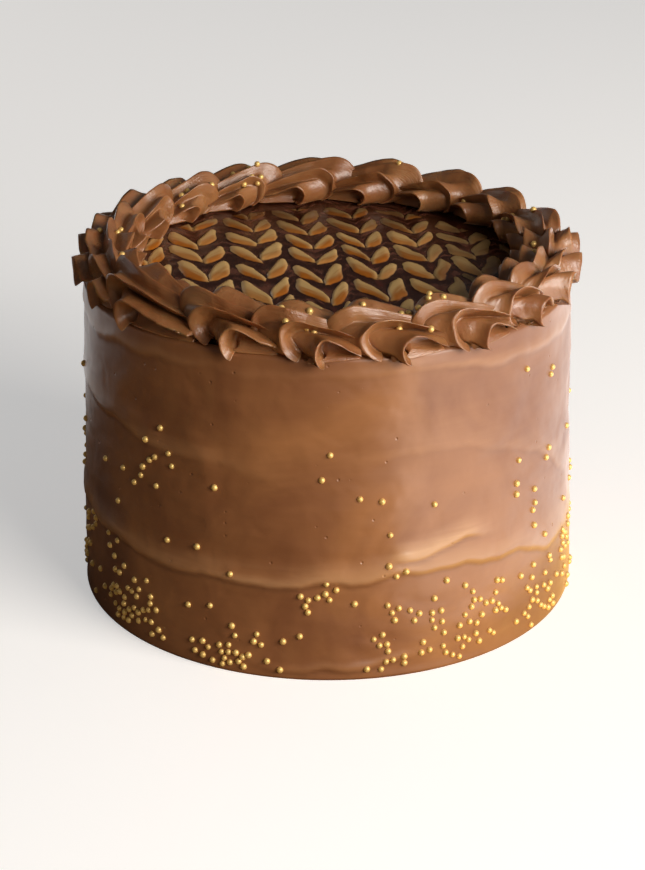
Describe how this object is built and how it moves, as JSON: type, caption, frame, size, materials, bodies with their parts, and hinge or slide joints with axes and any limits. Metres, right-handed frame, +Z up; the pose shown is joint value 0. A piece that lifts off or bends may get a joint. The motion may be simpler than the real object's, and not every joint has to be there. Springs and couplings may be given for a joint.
{
  "type": "chocolate caramel cake",
  "caption": "Tall round cake frosted in chocolate buttercream, with a feathered caramel ganache top, a border of piped shells and gold sugar balls.",
  "frame": {"origin": "centre of the cake's base, on the surface it stands on", "axes": "+Z up along the cake's axis; -Y faces the viewer; +X is the viewer's right"},
  "size_m": [0.1995, 0.2014, 0.1479],
  "materials": {
    "buttercream": "soft satin chocolate buttercream, smoothed on the side and piped with a star tip on the border",
    "caramel_ganache": "glossy dark chocolate ganache feathered with caramel",
    "gold_sugar_balls": "small gold sugar balls with a soft shine"
  },
  "bodies": {
    "root": {"frosted_tier": "buttercream", "ganache_top": "caramel_ganache", "shell_01": "buttercream", "shell_02": "buttercream", "shell_03": "buttercream", "shell_04": "buttercream", "shell_05": "buttercream", "shell_06": "buttercream", "shell_07": "buttercream", "shell_08": "buttercream", "shell_09": "buttercream", "shell_10": "buttercream", "shell_11": "buttercream", "shell_12": "buttercream", "shell_13": "buttercream", "shell_14": "buttercream", "shell_15": "buttercream", "shell_16": "buttercream", "shell_17": "buttercream", "shell_18": "buttercream", "shell_19": "buttercream", "shell_20": "buttercream"}
  },
  "joints": []
}
